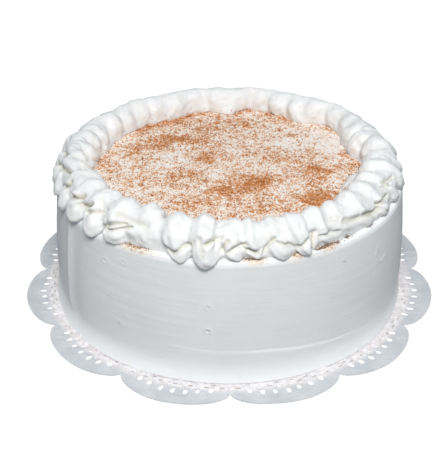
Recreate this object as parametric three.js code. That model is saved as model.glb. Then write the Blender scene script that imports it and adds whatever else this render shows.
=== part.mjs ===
// A round tres leches cake with a whipped cream coat and a piped loop border,
// standing on a scalloped paper doily. Millimetres, +Z up, front towards -Y.
import * as THREE from "three";

// ---- driving dimensions -------------------------------------------------
const GAP = 0.3; // clearance between pieces that rest on each other

const DOILY_TIP_RADIUS = 152.4; // a twelve-inch round doily
const DOILY_NOTCH_RADIUS = 137;
const DOILY_THICKNESS = 0.5; // embossed paper, measured over the beads
const DOILY_SCALLOPS = 12;
const DOILY_TURN = THREE.MathUtils.degToRad(30); // angle of the first notch
const SCALLOP_ROUNDNESS = 0.41; // 1 is a sine wave, less is a fuller lobe
const SCALLOP_POINTS = 10;
const HOLES_PER_SCALLOP = 6;
const HOLE_LENGTH = 3.4;
const HOLE_WIDTH = 2.2;
const HOLE_SIDES = 6;
const HOLE_BAND = 13.5; // from the paper's edge to the row of holes

const CAKE_HEIGHT = 86;
const RIM_RADIUS = 122.2; // the wall at its top edge
const WALL_FLARE = 5.2; // how much wider the wall is near its foot
const RIM_ROUNDING = 2.6;
const SKIRT_REACH = 3.4; // cream pressed out round the foot
const SKIRT_HEIGHT = 5;
const TOP_CROWN = 0.8; // the dusted middle is a little higher
const CROWN_RADIUS = 94; // the top is flat under the border
const CAKE_SEGMENTS = 64;

const LOOPS = 40; // loops in the piped border
const LOOP_PHASE = THREE.MathUtils.degToRad(2);
const BORDER_RADIUS = 111; // the circle that the loops follow
const LOOP_REACH = 7.3; // the strand's swing in and out
const LOOP_SWING = 5.2; // the strand's swing along the border
const LOOP_CLIMB = 3.5; // each loop climbs over the one before it
const STRAND_RADIUS = 7.1;
const STRAND_SEATING = 0.78; // the strand's underside is pressed flat on the top
const PROUD_LOOPS = [29, 32]; // these hang over the rim
const SHORT_LOOPS = [27, 30, 33, 34, 35, 36]; // these stop short of it
const CORE_RADIUS = 9; // cream under the loops, which closes their eyes
const SAMPLES_PER_LOOP = 28; // points along a strand that its surface is found from
const SECTIONS_PER_LOOP = 7;
const SECTION_POINTS = 15;
const SEARCH_REACH = 24; // further than any strand from the border's seat
const SEARCH_STEP = 0.5;
const SEARCH_HALVINGS = 6;

const TURN = 2 * Math.PI;

// ---- shared helpers ----------------------------------------------------
function finish(color, roughness) {
  return new THREE.MeshStandardMaterial({ color, roughness, metalness: 0 });
}

// A repeatable uneven value from -1 to 1 for the loop with this number.
function uneven(number, salt) {
  const wave = Math.sin(number * 12.9898 + salt * 78.233) * 43758.5453;
  return 2 * (wave - Math.floor(wave)) - 1;
}

function indexedGeometry(positions, faces) {
  const geometry = new THREE.BufferGeometry();
  geometry.setAttribute("position", new THREE.Float32BufferAttribute(positions, 3));
  geometry.setIndex(faces);
  geometry.computeVertexNormals();
  return geometry;
}

// ---- paper doily --------------------------------------------------------
function doilyRadius(angle) {
  const lobe = Math.abs(Math.sin((DOILY_SCALLOPS / 2) * (angle - DOILY_TURN)));
  const swell = DOILY_TIP_RADIUS - DOILY_NOTCH_RADIUS;
  return DOILY_NOTCH_RADIUS + swell * lobe ** SCALLOP_ROUNDNESS;
}

function doilyOutline() {
  const outline = new THREE.Shape();
  const count = DOILY_SCALLOPS * SCALLOP_POINTS;
  for (let i = 0; i < count; i += 1) {
    // points crowd towards the notches, where the outline turns fastest
    const part = (i % SCALLOP_POINTS) / SCALLOP_POINTS;
    const eased = part - Math.sin(TURN * part) / (TURN * 1.25);
    const lobe = Math.floor(i / SCALLOP_POINTS);
    const angle = DOILY_TURN + ((lobe + eased) * TURN) / DOILY_SCALLOPS;
    const radius = doilyRadius(angle);
    const x = radius * Math.cos(angle);
    const y = radius * Math.sin(angle);
    if (i === 0) outline.moveTo(x, y);
    else outline.lineTo(x, y);
  }
  outline.closePath();
  return outline;
}

function punchedHole(angle) {
  const radius = doilyRadius(angle) - HOLE_BAND;
  const hole = new THREE.Path();
  for (let i = 0; i < HOLE_SIDES; i += 1) {
    const turn = (-i * TURN) / HOLE_SIDES;
    const across = radius + (HOLE_WIDTH / 2) * Math.cos(turn);
    const along = (HOLE_LENGTH / 2) * Math.sin(turn);
    const x = across * Math.cos(angle) - along * Math.sin(angle);
    const y = across * Math.sin(angle) + along * Math.cos(angle);
    if (i === 0) hole.moveTo(x, y);
    else hole.lineTo(x, y);
  }
  hole.closePath();
  return hole;
}

function doilyGeometry() {
  const outline = doilyOutline();
  for (let lobe = 0; lobe < DOILY_SCALLOPS; lobe += 1) {
    for (let i = 0; i < HOLES_PER_SCALLOP; i += 1) {
      const part = 0.5 + ((i - (HOLES_PER_SCALLOP - 1) / 2) / HOLES_PER_SCALLOP) * 0.62;
      outline.holes.push(punchedHole(DOILY_TURN + ((lobe + part) * TURN) / DOILY_SCALLOPS));
    }
  }
  return new THREE.ExtrudeGeometry(outline, {
    depth: DOILY_THICKNESS, steps: 1, bevelEnabled: false, curveSegments: 1,
  });
}

// ---- cake ---------------------------------------------------------------
// The wall widens from the rim down, fastest in its upper half.
function wallRadius(height) {
  const down = 1 - height / CAKE_HEIGHT;
  return RIM_RADIUS + WALL_FLARE * Math.sin((Math.PI / 2) * Math.min(1, down * 1.25));
}

// Height above the foot, radius and how far the foot's skirt shows there.
function cakeProfile() {
  const points = [[0, 0, 0], [0, wallRadius(0), 1], [0.8, wallRadius(0), 1]];
  for (const height of [0.35, 1]) {
    const skirt = (1 - height) ** 2;
    points.push([0.8 + SKIRT_HEIGHT * height, wallRadius(SKIRT_HEIGHT * height), skirt]);
  }
  for (const share of [0.2, 0.4, 0.6, 0.8]) {
    points.push([CAKE_HEIGHT * share, wallRadius(CAKE_HEIGHT * share), 0]);
  }
  for (const part of [0, 0.5, 1]) {
    const bend = (part * Math.PI) / 2;
    const inset = RIM_ROUNDING * (1 - Math.cos(bend));
    const drop = RIM_ROUNDING * (1 - Math.sin(bend));
    points.push([CAKE_HEIGHT - drop, RIM_RADIUS - inset, 0]);
  }
  for (const share of [1, 0.6, 0]) {
    const crown = TOP_CROWN * (1 - share * share);
    points.push([CAKE_HEIGHT + crown, CROWN_RADIUS * share, 0]);
  }
  return points;
}

// The skirt spreads most at the left of the front, least at the back.
function skirtReach(angle) {
  return SKIRT_REACH * (0.75 + 0.3 * Math.cos(angle - 3.7) + 0.15 * Math.sin(5 * angle));
}

// Spatula work leaves the wall a little out of round.
function outOfRound(angle) {
  return 0.35 * Math.sin(3 * angle + 1) + 0.25 * Math.sin(7 * angle);
}

function cakeGeometry() {
  const profile = cakeProfile();
  const positions = [];
  const faces = [];
  const last = profile.length - 1;
  const ringStart = (row) => 1 + (row - 1) * CAKE_SEGMENTS;
  positions.push(0, 0, profile[0][0]);
  for (let row = 1; row < last; row += 1) {
    const [height, radius, skirt] = profile[row];
    for (let i = 0; i < CAKE_SEGMENTS; i += 1) {
      const angle = (i * TURN) / CAKE_SEGMENTS;
      const reach = radius + skirt * skirtReach(angle) + outOfRound(angle);
      positions.push(reach * Math.cos(angle), reach * Math.sin(angle), height);
    }
  }
  const top = positions.length / 3;
  positions.push(0, 0, profile[last][0]);
  for (let i = 0; i < CAKE_SEGMENTS; i += 1) {
    const j = (i + 1) % CAKE_SEGMENTS;
    faces.push(0, ringStart(1) + j, ringStart(1) + i);
    for (let row = 1; row < last - 1; row += 1) {
      const below = ringStart(row);
      const above = ringStart(row + 1);
      faces.push(below + i, below + j, above + j, below + i, above + j, above + i);
    }
    faces.push(ringStart(last - 1) + i, ringStart(last - 1) + j, top);
  }
  return indexedGeometry(positions, faces);
}

// ---- piped border -------------------------------------------------------
// One loop of the strand. It swings out over the rim, back over the loop
// before it and in towards the middle, while it moves on along the border.
// Heights are above the border's flat seat.
class LoopPath extends THREE.Curve {
  constructor(number) {
    super();
    this.middle = LOOP_PHASE + ((number + 0.16 * uneven(number, 1)) * TURN) / LOOPS;
    this.reach = LOOP_REACH + 0.7 * uneven(number, 2);
    this.swing = LOOP_SWING + 0.6 * uneven(number, 3);
    this.climb = LOOP_CLIMB + 0.7 * uneven(number, 4);
    this.radius = BORDER_RADIUS + 0.9 * uneven(number, 5);
    this.size = STRAND_RADIUS + 0.35 * uneven(number, 6);
    if (PROUD_LOOPS.includes(number)) this.radius += 2.2;
    if (SHORT_LOOPS.includes(number)) this.radius -= 2.2;
  }

  getPoint(t, target = new THREE.Vector3()) {
    const bend = (t - 0.25) * TURN;
    const radius = this.radius + this.reach * Math.cos(bend);
    const along = (this.swing / radius) * Math.sin(bend);
    const angle = this.middle - ((t - 0.5) * TURN) / LOOPS + along;
    const height = STRAND_RADIUS * STRAND_SEATING + this.climb * (1 + Math.sin(bend));
    return target.set(radius * Math.cos(angle), radius * Math.sin(angle), height);
  }
}

// How far a point is outside the nearest strand of these loops.
function clearance(point, loops) {
  let least = Infinity;
  for (const { size, samples } of loops) {
    for (const sample of samples) least = Math.min(least, sample.distanceTo(point) - size);
  }
  return least;
}

// Looking out from the middle of the seat, at this angle round the cake and
// this slope above the seat, the place where the outermost strand ends.
function borderSurface(angle, slope, loops) {
  const point = new THREE.Vector3();
  const place = (reach) => {
    const radius = BORDER_RADIUS + reach * Math.cos(slope);
    return point.set(radius * Math.cos(angle), radius * Math.sin(angle), reach * Math.sin(slope));
  };
  let outside = SEARCH_REACH;
  while (outside > CORE_RADIUS && clearance(place(outside - SEARCH_STEP), loops) > 0) {
    outside -= SEARCH_STEP;
  }
  if (outside <= CORE_RADIUS) return place(CORE_RADIUS);
  let inside = outside - SEARCH_STEP;
  for (let halving = 0; halving < SEARCH_HALVINGS; halving += 1) {
    const half = (inside + outside) / 2;
    if (clearance(place(half), loops) > 0) outside = half;
    else inside = half;
  }
  return place(outside);
}

function borderGeometry() {
  const loops = Array.from({ length: LOOPS }, (_, number) => {
    const path = new LoopPath(number);
    return { size: path.size, samples: path.getPoints(SAMPLES_PER_LOOP) };
  });
  const sections = LOOPS * SECTIONS_PER_LOOP;
  const positions = [];
  const faces = [];
  for (let i = 0; i < sections; i += 1) {
    const angle = (i * TURN) / sections;
    const nearest = Math.round(((angle - LOOP_PHASE) / TURN) * LOOPS) + LOOPS;
    const near = [-2, -1, 0, 1, 2].map((step) => loops[(nearest + step) % LOOPS]);
    for (let j = 0; j < SECTION_POINTS; j += 1) {
      const slope = (j * Math.PI) / (SECTION_POINTS - 1);
      positions.push(...borderSurface(angle, slope, near).toArray());
    }
    const here = i * SECTION_POINTS;
    const next = ((i + 1) % sections) * SECTION_POINTS;
    for (let j = 0; j < SECTION_POINTS; j += 1) {
      const k = (j + 1) % SECTION_POINTS;
      faces.push(here + j, next + j, next + k, here + j, next + k, here + k);
    }
  }
  return indexedGeometry(positions, faces);
}

// ---- the object ---------------------------------------------------------
const cake = new THREE.Group();

const doily = new THREE.Mesh(doilyGeometry(), finish(0xe6e9ec, 0.85));
doily.name = "paper_doily";
cake.add(doily);

const body = new THREE.Mesh(cakeGeometry(), finish(0xf4f2ee, 0.6));
body.name = "cake_body";
body.position.z = DOILY_THICKNESS + GAP;
cake.add(body);

const border = new THREE.Mesh(borderGeometry(), finish(0xfaf8f4, 0.55));
border.name = "piped_border";
border.position.z = body.position.z + CAKE_HEIGHT + GAP;
cake.add(border);

export default cake;
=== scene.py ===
# %% [markdown]
# # A tres leches cake with a piped border
# This lesson dresses a packed cake model in Blender: a smooth whipped cream coat, a border piped in
# loops, a top dusted with ground cinnamon and a paper lace doily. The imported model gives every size,
# so the first step loads it and notes its box, to measure the finished cake against.

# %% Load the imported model
import math
import random
from contextlib import contextmanager

import bpy
import numpy as np
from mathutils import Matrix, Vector, noise
from mathutils.bvhtree import BVHTree


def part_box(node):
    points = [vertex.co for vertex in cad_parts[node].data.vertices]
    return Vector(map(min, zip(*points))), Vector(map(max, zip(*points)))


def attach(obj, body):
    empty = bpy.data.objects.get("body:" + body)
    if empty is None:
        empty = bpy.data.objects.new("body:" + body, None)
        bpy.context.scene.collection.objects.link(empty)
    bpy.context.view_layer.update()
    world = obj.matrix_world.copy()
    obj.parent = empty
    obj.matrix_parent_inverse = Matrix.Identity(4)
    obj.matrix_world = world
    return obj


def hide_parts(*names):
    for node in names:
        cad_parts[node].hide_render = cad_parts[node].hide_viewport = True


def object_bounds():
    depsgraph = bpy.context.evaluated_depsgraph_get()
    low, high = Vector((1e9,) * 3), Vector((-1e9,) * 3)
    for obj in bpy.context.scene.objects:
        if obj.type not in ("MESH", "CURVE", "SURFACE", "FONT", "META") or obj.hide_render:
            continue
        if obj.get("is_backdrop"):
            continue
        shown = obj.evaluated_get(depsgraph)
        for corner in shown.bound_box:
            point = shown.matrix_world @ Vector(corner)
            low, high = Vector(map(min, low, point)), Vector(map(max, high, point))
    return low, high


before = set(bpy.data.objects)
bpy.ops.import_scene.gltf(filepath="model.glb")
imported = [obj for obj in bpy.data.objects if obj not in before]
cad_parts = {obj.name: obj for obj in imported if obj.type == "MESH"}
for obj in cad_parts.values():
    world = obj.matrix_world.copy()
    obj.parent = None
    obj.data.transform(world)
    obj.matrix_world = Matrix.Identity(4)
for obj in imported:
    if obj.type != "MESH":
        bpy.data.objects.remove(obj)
cad_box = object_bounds()
MM = 0.001
TURN = 2 * math.pi
print("packed pieces:", sorted(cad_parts))

# %% [markdown]
# ## Working by hand, in code
# Blender's tools act on whatever is selected, as they do under the mouse. These helpers select one
# piece, open it in edit mode and read, move and measure its vertices, so that each later cell reads
# like the steps that a modeller takes. `sculpt` moves vertices by a formula, which is how soft cream
# is given its unevenness: a brush would do, but a formula gives the same cake each time.

# %% Modelling helpers
def deselect():
    active = bpy.context.view_layer.objects.active
    if active and active.mode != "OBJECT":
        bpy.ops.object.mode_set(mode="OBJECT")
    bpy.ops.object.select_all(action="DESELECT")


def take(piece):
    deselect()
    piece.select_set(True)
    bpy.context.view_layer.objects.active = piece


def added(name):
    piece = bpy.context.object
    piece.name = name
    piece.data.name = name
    return piece


@contextmanager
def editing(piece, mode="VERT"):
    take(piece)
    bpy.ops.object.mode_set(mode="EDIT")
    bpy.ops.mesh.select_mode(type=mode)
    bpy.ops.mesh.select_all(action="SELECT")
    yield
    bpy.ops.object.mode_set(mode="OBJECT")


def places(piece):
    flat = np.empty(len(piece.data.vertices) * 3)
    piece.data.vertices.foreach_get("co", flat)
    return flat.reshape(-1, 3)


def sculpt(piece, move):
    moved = move(places(piece))
    piece.data.vertices.foreach_set("co", moved.ravel())
    piece.data.update()


def told(piece):
    low, high = places(piece).min(0) / MM, places(piece).max(0) / MM
    faces = len(piece.data.polygons)
    print(f"{piece.name}: {faces} faces, {low.round(1).tolist()} to {high.round(1).tolist()} mm")


# %% [markdown]
# ## The sizes of the cake
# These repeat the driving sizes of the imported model, in millimetres. The wall widens a little from
# its rim to its foot, because whipped cream slumps, and a skirt of cream is pressed out on the paper.

# %% Sizes
CAKE_FOOT = 0.8
CAKE_HIGH = 86.0
CAKE_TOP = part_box("cake_body")[0].z / MM + CAKE_HIGH
BORDER_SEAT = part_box("piped_border")[0].z / MM
RIM_RADIUS = 122.2
WALL_FLARE = 5.2
FLARE_DOWN = 0.8  # share of the way down at which the wall is at its widest
RIM_ROUNDING = 2.6
SKIRT_REACH = 3.4
print(f"the top is {CAKE_TOP:.1f} mm up and the border's seat {BORDER_SEAT:.1f} mm up")

# %% [markdown]
# ## The cream coat
# The coat was put on with a long spatula while the cake turned, so it is a shape of turning: one
# profile spun round the middle. A lathe profile is drawn point by point with extrude, from the
# middle of the underside, out under the skirt, up the wall, over the rim and back in across the top.

# %% Spin the coat
WALL_STEP = 0.95
FOOT_STEP = 0.5
FOOT_BAND = 8
SKIRT_EDGE = 0.3
RIM_STEPS = 6
TOP_RINGS = (118, 116, 113, 110, 105, 80, 40, 0)
COAT_SPOKES = 640


def wall_radius(height):
    down = 1 - (height - CAKE_FOOT) / (CAKE_TOP - CAKE_FOOT)
    return RIM_RADIUS + WALL_FLARE * math.sin(math.pi / 2 * min(1, down / FLARE_DOWN))


def coat_profile():
    points = [(0.0, CAKE_FOOT), (60.0, CAKE_FOOT), (wall_radius(CAKE_FOOT), CAKE_FOOT)]
    height = CAKE_FOOT + SKIRT_EDGE
    while height < CAKE_TOP - RIM_ROUNDING:
        points.append((wall_radius(height), height))
        height += FOOT_STEP if height < FOOT_BAND else WALL_STEP
    for step in range(1, RIM_STEPS + 1):
        bend = step / RIM_STEPS * math.pi / 2
        inset = RIM_ROUNDING * (1 - math.cos(bend))
        rise = RIM_ROUNDING * math.sin(bend)
        points.append((RIM_RADIUS - inset, CAKE_TOP - RIM_ROUNDING + rise))
    points += [(radius, CAKE_TOP) for radius in TOP_RINGS]
    return points


def spun(name, profile, spokes):
    """Draws the profile point by point from one vertex and spins it round the middle."""
    deselect()
    bpy.ops.mesh.primitive_plane_add(size=MM)
    piece = added(name)
    with editing(piece):
        bpy.ops.mesh.merge(type="CENTER")
        here = Vector((profile[0][0], 0, profile[0][1])) * MM
        bpy.ops.transform.translate(value=here)
        for radius, height in profile[1:]:
            there = Vector((radius, 0, height)) * MM
            bpy.ops.mesh.extrude_region_move(TRANSFORM_OT_translate={"value": there - here})
            here = there
        bpy.ops.mesh.select_all(action="SELECT")
        bpy.ops.mesh.spin(steps=spokes, angle=TURN, center=(0, 0, 0), axis=(0, 0, 1))
        bpy.ops.mesh.select_all(action="SELECT")
        bpy.ops.mesh.remove_doubles(threshold=0.01 * MM)
        bpy.ops.mesh.normals_make_consistent(inside=False)
    return piece


coat = spun("cream_coat", coat_profile(), COAT_SPOKES)
told(coat)

# %% [markdown]
# ## A wall that was turned by hand
# The coat was smoothed on a turntable, so its wall has long faint level streaks, which come and go, and
# is never quite round. The skirt at its foot reaches further out in some places. Each of these is a
# sum of waves round the cake, worked out in millimetres.

# %% Waves round the wall
STREAKS = 26
STREAK_DEPTH = 0.003


def uneven(number, salt):
    """A repeatable uneven value from -1 to 1."""
    wave = math.sin(number * 12.9898 + salt * 78.233) * 43758.5453
    return 2 * (wave - math.floor(wave)) - 1


def skirt_reach(angle):
    return SKIRT_REACH * (0.75 + 0.3 * np.cos(angle - 3.7) + 0.15 * np.sin(5 * angle))


def out_of_round(angle):
    return 0.35 * np.sin(3 * angle + 1) + 0.25 * np.sin(7 * angle)


def streak_relief(angle, height):
    """Level waves, a few millimetres from crest to crest."""
    relief = np.zeros_like(angle)
    for number in range(STREAKS):
        pitch = 2.2 + 1.1 * (number % 9) + 0.4 * uneven(number, 1)
        drift = 1.6 * np.sin((1 + number % 3) * angle + 3 * uneven(number, 2))
        swell = np.clip(np.sin((1 + number % 4) * angle + 3 * uneven(number, 3)), 0, 1)
        relief += STREAK_DEPTH * pitch ** 0.5 * swell * np.sin(TURN * (height + drift) / pitch + number)
    return relief


around = np.linspace(0, TURN, 361)
print(f"the wall is out of round by {np.ptp(out_of_round(around)):.1f} mm")

# %% [markdown]
# ## Marks that the spatula left
# The wall keeps a soft upright ridge at the left where the spatula lifted, a crease low on the front
# where a last sweep of cream ends, a curl at the right and a few burst bubbles. They are up to a
# millimetre and a half deep, so they are real relief, by a formula in angle and height, rather than a
# bump pattern alone.

# %% Marks on the wall
RIDGE_ANGLE = 211.5
RIDGE_HIGH = 1.1
RIDGE_SPREAD = 1.6
RIDGE_FOOT = 8
RIDGE_FADE = 12
GROOVE_BESIDE = 4.5
GROOVE_DEEP = 0.5
GROOVE_SPREAD = 3.0
SWEEP_EDGE = [(255, 26.5), (264, 25), (281, 24.3), (290, 21.8), (300, 19.4), (313, 16.4), (330, 10)]
SWEEP_MIDDLE = 290
SWEEP_SPREAD = 26
SWEEP_STEP = 0.55
SWEEP_CREASE = 0.45
PITS = [  # angle, height, size
    (263.8, 56.7, 1.2), (263.8, 39.4, 1.3), (237.8, 75.8, 1.1), (230.9, 71.8, 1.3),
    (301.3, 53.1, 1.0), (236.4, 30.0, 1.0), (239.4, 37.3, 0.8), (232.9, 47.4, 0.9),
    (304.9, 73.8, 0.8), (20, 60, 1.2), (75, 44, 1.0), (110, 66, 1.3), (152, 35, 1.1)]
PIT_RIM = 0.7
PIT_DEEP = 1.5
CURL = [(320.0, 71.0), (318.9, 66.5), (319.6, 61.5), (322.3, 58.3), (324.5, 60.0), (323.4, 65.0)]
CURL_HIGH = 0.2
CURL_WIDE = 0.9


def hump(distance, width):
    """A smooth hump: 1 in its middle and next to nothing two widths away."""
    return np.exp(-(distance / width) ** 2)


def degrees_apart(angle, middle):
    """How many degrees an angle in radians is past the middle, from -180 to 180."""
    return (np.degrees(angle) - middle + 180) % 360 - 180


def wall_apart(angle, middle):
    """The same in millimetres along the wall."""
    return degrees_apart(angle, middle) * math.radians(RIM_RADIUS)


def wall_relief(angle, height):
    relief = out_of_round(angle) + streak_relief(angle, height)
    relief += 0.3 * np.sin(2 * angle + 0.7) * np.sin(height / 19)
    aside = degrees_apart(angle, RIDGE_ANGLE)
    relief += RIDGE_HIGH * hump(aside, RIDGE_SPREAD) * np.clip((height - RIDGE_FOOT) / RIDGE_FADE, 0, 1)
    relief -= GROOVE_DEEP * hump(aside - GROOVE_BESIDE, GROOVE_SPREAD)
    turned = np.degrees(angle) % 360
    above = height - np.interp(turned, *zip(*SWEEP_EDGE))
    step = SWEEP_STEP / (1 + np.exp(np.clip(above / 0.5, -30, 30)))
    relief += hump(turned - SWEEP_MIDDLE, SWEEP_SPREAD) * (step - SWEEP_CREASE * hump(above, 0.8))
    for pit_angle, pit_height, size in PITS:
        away = np.hypot(wall_apart(angle, pit_angle), height - pit_height)
        relief += PIT_RIM * hump(away - size, 0.6 * size) - PIT_DEEP * hump(away, 0.8 * size)
    for (start, low), (end, high) in zip(CURL, CURL[1:]):
        for share in np.linspace(0, 1, 6):
            across = wall_apart(angle, start + (end - start) * share)
            away = np.hypot(across, height - low - (high - low) * share)
            relief += CURL_HIGH * hump(away, CURL_WIDE)
    return relief


front_line = wall_relief(np.full(80, 1.5 * math.pi), np.linspace(8, 80, 80))
print(f"up the front of the wall the relief spans {np.ptp(front_line):.1f} mm")

# %% [markdown]
# The relief moves each vertex of the wall out or in, and a low uneven lip is left on the rim. The rim
# also keeps a mark of where cinnamon has stained it under the short loops, for its paint.

# %% Sculpt the coat
SKIRT_HEIGHT = 14.0
LIP_RADIUS = 119.5
LIP_HIGH = 0.55
LIP_WIDE = 2.5
STAIN_RADIUS = 120
STAIN_WIDE = 3.5
RIM_STAINS = [(241, 6), (277, 3), (290, 3), (300, 2.5)]  # angle, spread


def shape_coat(points):
    x, y, height = (points / MM).T
    angle = np.arctan2(y, x)
    radius = np.hypot(x, y)
    low = np.clip(1 - (height - CAKE_FOOT - SKIRT_EDGE) / SKIRT_HEIGHT, 0, 1)
    outside = np.clip((radius - 100) / 18, 0, 1)
    reach = wall_relief(angle, height) + skirt_reach(angle) * low ** 2.0
    grown = radius + outside * reach
    ripples = 0.6 + 0.6 * np.sin(11 * angle + 2 * np.sin(4 * angle))
    lip = LIP_HIGH * hump(radius - LIP_RADIUS, LIP_WIDE) * ripples
    height = height + lip * (height > CAKE_TOP - 1.5)
    return np.stack([grown * np.cos(angle), grown * np.sin(angle), height], 1) * MM


sculpt(coat, shape_coat)
x, y, height = (places(coat) / MM).T
stained = sum(hump(degrees_apart(np.arctan2(y, x), middle), spread) for middle, spread in RIM_STAINS)
stained *= hump(np.hypot(x, y) - STAIN_RADIUS, STAIN_WIDE) * np.clip((height - CAKE_TOP + 3) / 2, 0, 1)
stain = coat.data.attributes.new("stain", "FLOAT", "POINT")
stain.data.foreach_set("value", np.clip(stained, 0, 1))
told(coat)

# %% [markdown]
# ## One long piped strand
# The border was piped without lifting the nozzle: the hand swings up and out over the rim, turns low
# on the wall's edge and comes back in under the next loop, forty times. So it is modelled as one
# closed curve with a star section, as an open star nozzle gives. Forty copies of a modelled shell
# would also do, but the loops would then be alike, and on the real cake each one runs into the next.
# One table holds the way of a single loop, a second one where the cream ends on its inner side, and a
# third one the loops of the left and the front, each with a place and a size of its own.

# %% The strand's route
LOOPS = 40
LOOP_PHASE = -5.5
LOOP_STEP = 9.16
OUTER_REACH = 124.4
LOOP_LOW = 4.0
LOOP_CLIMB = 7.9
STRAND_RADIUS = 6.0
LOOP_WAY = [  # onwards to the next loop, outwards, upwards, thickness
    (0.00, -0.08, 0.35, 1.05),
    (0.02, 0.10, 0.86, 1.28),
    (0.00, 0.32, 1.06, 1.38),
    (0.00, 0.59, 0.78, 1.16),
    (0.02, 0.86, 0.34, 1.22),
    (0.20, 1.04, -0.06, 0.80),
    (0.42, 0.94, -0.14, 0.70),
    (0.70, 0.50, 0.10, 0.80),
]
LIP_SIZE = 0.76
BACK_LOWER = 1.8
INNER_EDGE = [(0, 97), (4, 95), (8, 91.5), (12, 90), (18, 90), (24, 90.5), (29, 95), (35, 103), (44, 104),
              (49, 100), (54, 96), (58, 95), (62, 99.5), (66, 101), (67.5, 96), (70, 102), (73, 105),
              (82, 107), (88, 93), (93, 93), (99, 103), (110, 98), (121, 95.5), (136, 95.5),
              (157, 94), (176, 94), (187, 97), (196, 96), (206, 91.5), (235, 91.5), (250, 93),
              (270, 94.5), (300, 94.5), (320, 91), (345, 90), (352, 92), (357, 96), (360, 97)]
EDGE_WAVES = [(17, 1.0, 0.7), (29, 4.0, 0.6), (47, 2.0, 0.45)]  # waves round the cake, start, size
PETALS = {  # angle, outer reach, slimness there, lift of the crest
    19: (168.5, 126.0, 0.1, 0), 20: (177.5, 125.2, 0.2, 0), 21: (186.5, 125.6, 0.1, 0),
    22: (195.0, 124.8, 0.2, 0.5), 23: (204.0, 125.2, 0.1, 1), 24: (212.6, 125.0, 0.0, 1.5),
    25: (222.5, 125.6, 0.0, 1.5), 26: (232.0, 126.2, 0.0, 1.5), 27: (242.0, 118.8, 0.1, 1),
    28: (253.0, 122.6, -0.1, 1), 29: (261.8, 126.4, -0.1, 3.2), 30: (270.0, 123.0, 0.0, -0.5),
    31: (275.8, 122.6, 0.3, -1), 32: (283.4, 123.2, 0.1, -1), 33: (290.5, 124.6, 0.1, 0.5),
    34: (298.5, 119.6, 0.0, 1), 35: (306.5, 118.8, 0.0, -0.5), 36: (315.5, 120.4, 0.1, 0),
    37: (325.0, 122.0, 0.1, 0.5), 38: (334.5, 123.0, 0.2, 1), 39: (345.0, 124.0, 0.1, 1)}


def inner_edge(degrees):
    """Radius at which the cream ends and the powder begins, with its small uneven waves."""
    turned = np.radians(degrees)
    waves = sum(size * np.sin(count * turned + start) for count, start, size in EDGE_WAVES)
    return np.interp(degrees % 360, *zip(*INNER_EDGE)) + waves


def loop_facts(number):
    """Angle in degrees, outer reach, slimness there, inner reach, climb, thickness."""
    turns, number = divmod(number, LOOPS)
    free = (LOOP_PHASE + number * LOOP_STEP + 1.6 * uneven(number, 1),
            OUTER_REACH + 1.5 * uneven(number, 5) - 2.0 * math.exp(-number ** 2 / 9),
            0.08 + 0.12 * uneven(number, 7), 0.9 * uneven(number, 4))
    angle, outer, slim, lift = PETALS.get(number, free)
    inner = inner_edge(angle) + 1.0 + 1.5 * uneven(number, 2)
    climb = LOOP_CLIMB + lift - BACK_LOWER * max(0, math.sin(math.radians(angle)))
    return np.array([angle + 360 * turns, outer, slim, inner, climb,
                     STRAND_RADIUS + 0.5 * uneven(number, 6)])


def strand_points():
    """The points that steer the strand, each with its thickness there, in millimetres."""
    for number in range(LOOPS):
        here, beside = loop_facts(number), loop_facts(number + 1)
        for onwards, outwards, upwards, size in LOOP_WAY:
            angle, outer, slim, inner, climb, thick = here + (beside - here) * max(0, onwards)
            degrees = here[0] + (beside[0] - here[0]) * onwards
            size *= thick * (1 - slim * max(0, 2 * outwards - 1))
            inmost, outmost = inner + thick, outer - LIP_SIZE * thick
            radius = inmost + (outmost - inmost) * outwards
            turn = math.radians(degrees)
            height = BORDER_SEAT + LOOP_LOW + climb * upwards
            yield radius * math.cos(turn), radius * math.sin(turn), height, size


print(f"{LOOPS} loops, steered by {len(list(strand_points()))} points")

# %% [markdown]
# The star section is a circle that is drawn in between its six ridges. It becomes the bevel of a closed
# curve along the route, and the curve becomes a mesh. Its loops cut through each other for now.

# %% Pipe the strand
STAR_RIDGES = 6
STAR_POINTS = 8
RIDGE_DEPTH = 1.1
STAR_MEAN = 0.62


def star_section():
    deselect()
    bpy.ops.mesh.primitive_circle_add(vertices=STAR_RIDGES * STAR_POINTS, radius=MM)
    section = added("star_section")

    def draw_in(points):
        angle = np.arctan2(points[:, 1], points[:, 0])
        rise = np.abs(np.cos(STAR_RIDGES / 2 * angle)) - STAR_MEAN
        return points * (1 + RIDGE_DEPTH * rise / STRAND_RADIUS)[:, None]

    sculpt(section, draw_in)
    take(section)
    bpy.ops.object.convert(target="CURVE")
    return bpy.context.object


def piped_strand():
    section = star_section()
    deselect()
    bpy.ops.curve.primitive_nurbs_circle_add()
    strand = added("piped_cream")
    route = strand.data
    route.splines.clear()
    spline = route.splines.new("NURBS")
    points = list(strand_points())
    spline.points.add(len(points) - 1)
    for point, (x, y, z, size) in zip(spline.points, points):
        point.co = (x * MM, y * MM, z * MM, 1)
        point.radius = size
    spline.use_cyclic_u = True
    spline.order_u = 4
    spline.resolution_u = 5
    route.bevel_mode = "OBJECT"
    route.bevel_object = section
    route.twist_mode = "MINIMUM"
    take(strand)
    bpy.ops.object.convert(target="MESH")
    strand = bpy.context.object
    bpy.data.objects.remove(section)
    return strand


strand = piped_strand()
told(strand)

# %% [markdown]
# The loops lie on a bank of cream that fills the border's inner side, where the bag was pressed hard.
# The bank is one more spun profile. Its inner edge follows a table, because the powder ends in soft
# bays all round, and at the right a low shelf of cream runs in over the top.

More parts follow.
